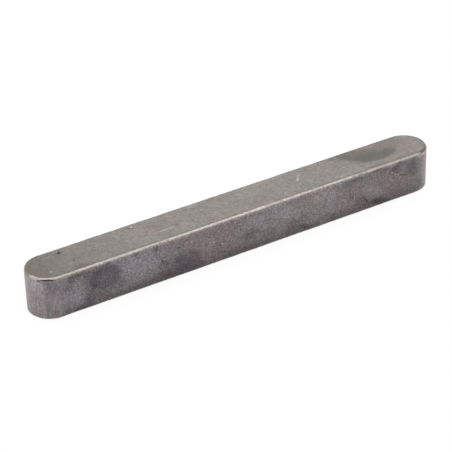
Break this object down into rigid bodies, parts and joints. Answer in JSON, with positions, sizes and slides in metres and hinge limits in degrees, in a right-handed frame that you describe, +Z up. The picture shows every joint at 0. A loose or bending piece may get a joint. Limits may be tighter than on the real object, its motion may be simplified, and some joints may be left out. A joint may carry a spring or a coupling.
{
  "type": "parallel key",
  "caption": "Square-section parallel key of bright drawn steel with half-round ends and chamfered rims, for locking a hub to a shaft.",
  "frame": {"origin": "middle of the bottom face, on the plane the key rests on", "axes": "+X along the key, +Y across it towards the back flank, +Z up from the bottom face to the top face"},
  "size_m": [0.05, 0.005, 0.005],
  "materials": {
    "key_steel": "satin"
  },
  "bodies": {
    "root": {"parallel_key": "key_steel"}
  },
  "joints": []
}
